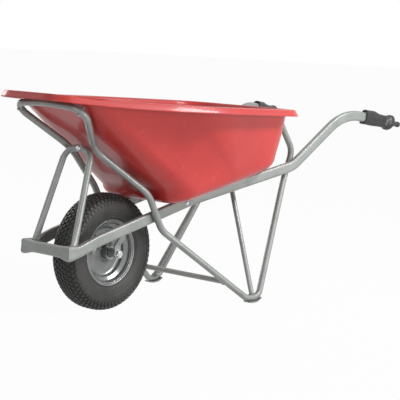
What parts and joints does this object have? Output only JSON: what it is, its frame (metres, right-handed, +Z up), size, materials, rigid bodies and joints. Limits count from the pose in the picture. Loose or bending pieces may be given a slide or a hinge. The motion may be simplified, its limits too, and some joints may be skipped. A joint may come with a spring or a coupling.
{
  "type": "wheelbarrow",
  "caption": "Single-wheel barrow with a deep moulded tray on a bent-tube frame, a pneumatic wheel on ball bearings, braced legs and moulded hand grips.",
  "frame": {"origin": "on the ground, under the middle of the overall length and width", "axes": "+X forward, towards the wheel and the tray's nose; +Y towards the pusher's left hand; +Z up from the ground"},
  "size_m": [1.6976, 0.694, 0.7425],
  "materials": {
    "tray_red": "satin-gloss moulded polypropylene",
    "frame_silver": "silver-grey powder coat",
    "zinc": "bright zinc plate",
    "bright_steel": "ground steel",
    "rim_grey": "grey metallic paint",
    "tyre_black": "matt black tyre rubber",
    "tube_rubber": "matt butyl rubber",
    "grip_black": "soft black moulding"
  },
  "bodies": {
    "frame": {"tray": "tray_red", "left_rail": "frame_silver", "right_rail": "frame_silver", "front_bar": "frame_silver", "front_hoop": "frame_silver", "rear_hoop": "frame_silver", "left_leg": "frame_silver", "right_leg": "frame_silver", "leg_stay": "frame_silver", "tie_bar": "frame_silver", "front_brace": "frame_silver", "left_foot_plate": "frame_silver", "right_foot_plate": "frame_silver", "left_axle_bracket": "frame_silver", "right_axle_bracket": "frame_silver", "front_strap": "frame_silver", "middle_strap": "frame_silver", "rear_strap": "frame_silver", "strap_bolts": "zinc", "strap_nuts": "zinc", "tray_bolts": "zinc", "tray_washers": "zinc", "tray_nuts": "zinc", "brace_bolt": "zinc", "brace_bolt_nut": "zinc", "hoop_screws": "zinc", "left_grip": "grip_black", "right_grip": "grip_black", "bearing_inner_rings": "bright_steel", "axle": "zinc", "bearing_spacer": "zinc", "axle_sleeves": "zinc", "axle_washers": "zinc", "axle_nuts": "zinc"},
    "wheel": {"tyre": "tyre_black", "inner_tube": "tube_rubber", "rim_left_half": "rim_grey", "rim_right_half": "rim_grey", "hub_tube": "rim_grey", "bearing_outer_rings": "bright_steel", "bearing_balls": "bright_steel", "bearing_seals": "tube_rubber", "valve_stem": "tube_rubber", "valve_cap": "tube_rubber"}
  },
  "joints": [
    {"name": "wheel_spin", "type": "hinge", "parent": "frame", "child": "wheel", "pos_m": [0.47976, 0, 0.2], "axis": [0, 1, 0], "continuous": true}
  ]
}
